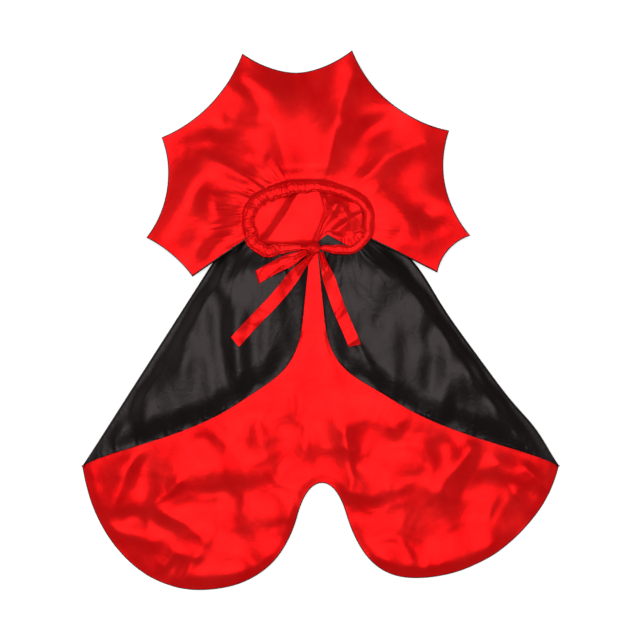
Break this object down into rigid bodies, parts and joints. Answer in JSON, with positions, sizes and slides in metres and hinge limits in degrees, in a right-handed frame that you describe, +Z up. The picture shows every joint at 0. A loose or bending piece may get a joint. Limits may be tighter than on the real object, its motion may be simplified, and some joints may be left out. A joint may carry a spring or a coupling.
{
  "type": "superhero cape",
  "caption": "Small pet's vampire cape in black satin with a red satin lining, a pointed stand-up collar, folded fronts, a lobed hem and a ribbon tie in a half bow, laid flat.",
  "frame": {"origin": "centre of the outline, on the floor that the cape lies on", "axes": "+Z up from the floor, +Y from the hem towards the back of the collar, +X to the right as seen from above"},
  "size_m": [0.4494, 0.5112, 0.0129],
  "materials": {
    "red_satin": "glossy red satin",
    "black_satin": "glossy black satin",
    "collar_stiffener": "plain white non-woven interlining"
  },
  "bodies": {
    "cape": {"back_shell": "black_satin", "back_lining": "red_satin", "left_front_shell": "black_satin", "left_front_lining": "red_satin", "right_front_shell": "black_satin", "right_front_lining": "red_satin", "collar_left_outer": "black_satin", "collar_left_stiffener": "collar_stiffener", "collar_left_inner": "red_satin", "collar_right_outer": "black_satin", "collar_right_stiffener": "collar_stiffener", "collar_right_inner": "red_satin", "neck_casing": "red_satin", "neck_facing": "red_satin", "tie_in_casing": "red_satin", "tie_knot": "red_satin"},
    "collar_back": {"collar_back_outer": "black_satin", "collar_back_stiffener": "collar_stiffener", "collar_back_inner": "red_satin"},
    "left_edge": {"left_edge_shell": "black_satin", "left_edge_lining": "red_satin"},
    "right_edge": {"right_edge_shell": "black_satin", "right_edge_lining": "red_satin"},
    "left_end": {"tie_left_end": "red_satin"},
    "right_end": {"tie_right_end": "red_satin"},
    "loop": {"tie_loop": "red_satin"}
  },
  "joints": [
    {"name": "collar_turn_up", "type": "hinge", "parent": "cape", "child": "collar_back", "pos_m": [-0.011, 0.13342, 0.0098], "axis": [1, 0, 0], "range_deg": [0, 100]},
    {"name": "left_edge_turn_back", "type": "hinge", "parent": "cape", "child": "left_edge", "pos_m": [-0.0155, 0.06032, 0.009], "axis": [-0.7284, -0.6852, 0], "range_deg": [0, 75]},
    {"name": "right_edge_turn_back", "type": "hinge", "parent": "cape", "child": "right_edge", "pos_m": [0.0035, 0.06432, 0.009], "axis": [-0.7403, 0.6723, 0], "range_deg": [0, 90]},
    {"name": "left_end_lift", "type": "hinge", "parent": "left_edge", "child": "left_end", "pos_m": [-0.0089, 0.06212, 0.0065], "axis": [-0.7511, 0.6601, 0], "range_deg": [0, 15]},
    {"name": "right_end_lift", "type": "hinge", "parent": "right_edge", "child": "right_end", "pos_m": [0.0004, 0.06522, 0.0065], "axis": [-0.9419, -0.336, 0], "range_deg": [0, 40]},
    {"name": "loop_lift", "type": "hinge", "parent": "cape", "child": "loop", "pos_m": [-0.0127, 0.06442, 0.0094], "axis": [-0.493, 0.87, 0], "range_deg": [0, 60]}
  ]
}
